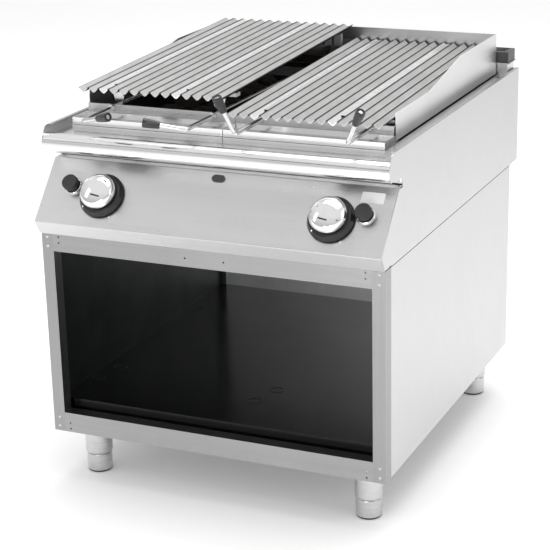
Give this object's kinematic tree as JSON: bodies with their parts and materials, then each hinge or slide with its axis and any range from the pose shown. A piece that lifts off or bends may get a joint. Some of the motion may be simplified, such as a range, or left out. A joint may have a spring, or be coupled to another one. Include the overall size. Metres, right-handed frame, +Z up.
{
  "type": "charbroiler grill",
  "caption": "Free-standing gas lava-rock charbroiler with lever-lifted channel grates, stepped splash guard, knobs, grease trays, rear flue and an open base cabinet on adjustable feet.",
  "frame": {"origin": "on the floor, under the centre of the machine's bounding box", "axes": "+X to the operator's right along the width, +Y from the front to the rear, +Z up"},
  "size_m": [0.8, 0.9748, 0.9222],
  "materials": {
    "outer_steel": "vertical brushed stainless, satin",
    "front_steel": "satin stainless, grain along the width",
    "liner_steel": "satin stainless sheet, unpolished",
    "splash_steel": "fine satin stainless",
    "grate_steel": "drawn stainless channels, lightly worn",
    "leg_steel": "turned stainless",
    "knob_chrome": "polished chrome",
    "knob_black": "satin black thermoset",
    "spindle_steel": "turned steel",
    "igniter_chrome": "polished chrome",
    "igniter_rubber": "matt black rubber",
    "label_white": "blank white label",
    "lever_chrome": "bright zinc-chrome plated rod",
    "grip_black": "satin black thermoset",
    "firebox_steel": "heat-darkened steel",
    "burner_steel": "heat-tinted stainless tube",
    "lava_rock": "porous dark lava rock",
    "valve_brass": "machined brass",
    "flue_steel": "satin stainless",
    "flue_enamel": "dark grey enamelled cast iron"
  },
  "bodies": {
    "body": {"base_channels": "liner_steel", "burners": "burner_steel", "cabinet_back": "outer_steel", "cabinet_ceiling": "liner_steel", "cabinet_floor": "liner_steel", "control_panel": "front_steel", "firebox_left": "firebox_steel", "firebox_right": "firebox_steel", "flue_duct": "flue_steel", "front_posts": "front_steel", "front_rails": "front_steel", "gas_manifold": "burner_steel", "gas_valves": "valve_brass", "hob_collars": "front_steel", "hob_fronts": "front_steel", "igniter_housings": "igniter_chrome", "injectors": "valve_brass", "label_plate": "label_white", "lava_grids": "firebox_steel", "lava_stones": "lava_rock", "leg_sleeves": "leg_steel", "pilot_window": "igniter_rubber", "pilots": "spindle_steel", "screws": "spindle_steel", "shaft_straps": "firebox_steel", "side_panel_left": "outer_steel", "side_panel_right": "outer_steel", "upper_back": "outer_steel", "upper_side_left": "outer_steel", "upper_side_right": "outer_steel", "worktop_front": "front_steel", "worktop_margins": "front_steel"},
    "lever_1": {"lift_lever_1": "lever_chrome", "lever_grip_1": "grip_black"},
    "lever_2": {"lift_lever_2": "lever_chrome", "lever_grip_2": "grip_black"},
    "lever_3": {"lift_lever_3": "lever_chrome", "lever_grip_3": "grip_black"},
    "lever_4": {"lift_lever_4": "lever_chrome", "lever_grip_4": "grip_black"},
    "left_grate": {"grate_left": "grate_steel"},
    "right_grate": {"grate_right": "grate_steel"},
    "left_spindle": {"valve_spindle_left": "spindle_steel"},
    "right_spindle": {"valve_spindle_right": "spindle_steel"},
    "left_knob": {"knob_skirt_left": "knob_black", "knob_dome_left": "knob_chrome"},
    "right_knob": {"knob_skirt_right": "knob_black", "knob_dome_right": "knob_chrome"},
    "left_igniter": {"igniter_button_left": "igniter_rubber"},
    "right_igniter": {"igniter_button_right": "igniter_rubber"},
    "left_tray": {"grease_tray_left": "front_steel"},
    "right_tray": {"grease_tray_right": "front_steel"},
    "splash_guard": {"splash_side_left": "splash_steel", "splash_side_right": "splash_steel", "splash_back": "splash_steel"},
    "flue_cover": {"flue_grille": "flue_enamel"},
    "front_left_foot": {"foot_front_left": "leg_steel"},
    "front_right_foot": {"foot_front_right": "leg_steel"},
    "rear_left_foot": {"foot_rear_left": "leg_steel"},
    "rear_right_foot": {"foot_rear_right": "leg_steel"}
  },
  "joints": [
    {"name": "lever_1_turn", "type": "hinge", "parent": "body", "child": "lever_1", "pos_m": [-0.299, -0.42625, 0.8365], "axis": [0, 1, 0], "range_deg": [-110, 0]},
    {"name": "lever_2_turn", "type": "hinge", "parent": "body", "child": "lever_2", "pos_m": [-0.052, -0.42625, 0.8365], "axis": [0, 1, 0], "range_deg": [0, 110]},
    {"name": "lever_3_turn", "type": "hinge", "parent": "body", "child": "lever_3", "pos_m": [0.061, -0.42625, 0.8365], "axis": [0, 1, 0], "range_deg": [0, 110]},
    {"name": "lever_4_turn", "type": "hinge", "parent": "body", "child": "lever_4", "pos_m": [0.308, -0.42625, 0.8365], "axis": [0, 1, 0], "range_deg": [-110, 0]},
    {"name": "left_grate_lift", "type": "slide", "parent": "body", "child": "left_grate", "axis": [0, 0, 1], "range_m": [-0.032, 0]},
    {"name": "right_grate_lift", "type": "slide", "parent": "body", "child": "right_grate", "axis": [0, 0, 1], "range_m": [0, 0.032]},
    {"name": "left_knob_turn", "type": "hinge", "parent": "body", "child": "left_spindle", "pos_m": [-0.255, -0.43478, 0.676], "axis": [0, 0.7561, -0.6544], "range_deg": [-210, 0]},
    {"name": "left_knob_press", "type": "slide", "parent": "left_spindle", "child": "left_knob", "axis": [0, 0.7561, -0.6544], "range_m": [0, 0.0034], "stiffness_N_per_m": 2500, "springref_m": -0.006},
    {"name": "right_knob_turn", "type": "hinge", "parent": "body", "child": "right_spindle", "pos_m": [0.276, -0.43478, 0.676], "axis": [0, 0.7561, -0.6544], "range_deg": [-210, 0]},
    {"name": "right_knob_press", "type": "slide", "parent": "right_spindle", "child": "right_knob", "axis": [0, 0.7561, -0.6544], "range_m": [0, 0.0034], "stiffness_N_per_m": 2500, "springref_m": -0.006},
    {"name": "left_igniter_press", "type": "slide", "parent": "body", "child": "left_igniter", "axis": [0, 0.7561, -0.6544], "range_m": [0, 0.004], "stiffness_N_per_m": 1500, "springref_m": -0.004},
    {"name": "right_igniter_press", "type": "slide", "parent": "body", "child": "right_igniter", "axis": [0, 0.7561, -0.6544], "range_m": [0, 0.004], "stiffness_N_per_m": 1500, "springref_m": -0.004},
    {"name": "left_tray_slide", "type": "slide", "parent": "body", "child": "left_tray", "axis": [0, -1, 0], "range_m": [0, 0.12]},
    {"name": "right_tray_slide", "type": "slide", "parent": "body", "child": "right_tray", "axis": [0, -1, 0], "range_m": [0, 0.12]},
    {"name": "splash_guard_lift", "type": "slide", "parent": "body", "child": "splash_guard", "axis": [0, 0, 1], "range_m": [0, 0.12]},
    {"name": "flue_cover_lift", "type": "slide", "parent": "body", "child": "flue_cover", "axis": [0, 0, 1], "range_m": [0, 0.06]},
    {"name": "front_left_foot_screw", "type": "slide", "parent": "body", "child": "front_left_foot", "axis": [0, 0, -1], "range_m": [0, 0.045]},
    {"name": "front_right_foot_screw", "type": "slide", "parent": "body", "child": "front_right_foot", "axis": [0, 0, -1], "range_m": [0, 0.045]},
    {"name": "rear_left_foot_screw", "type": "slide", "parent": "body", "child": "rear_left_foot", "axis": [0, 0, -1], "range_m": [0, 0.045]},
    {"name": "rear_right_foot_screw", "type": "slide", "parent": "body", "child": "rear_right_foot", "axis": [0, 0, -1], "range_m": [0, 0.045]}
  ],
  "couplings": [
    {"joint": "lever_1_turn", "follows": "left_grate_lift", "rad_per_m": 59.995},
    {"joint": "lever_2_turn", "follows": "left_grate_lift", "rad_per_m": -59.995},
    {"joint": "lever_3_turn", "follows": "right_grate_lift", "rad_per_m": 59.995},
    {"joint": "lever_4_turn", "follows": "right_grate_lift", "rad_per_m": -59.995}
  ]
}
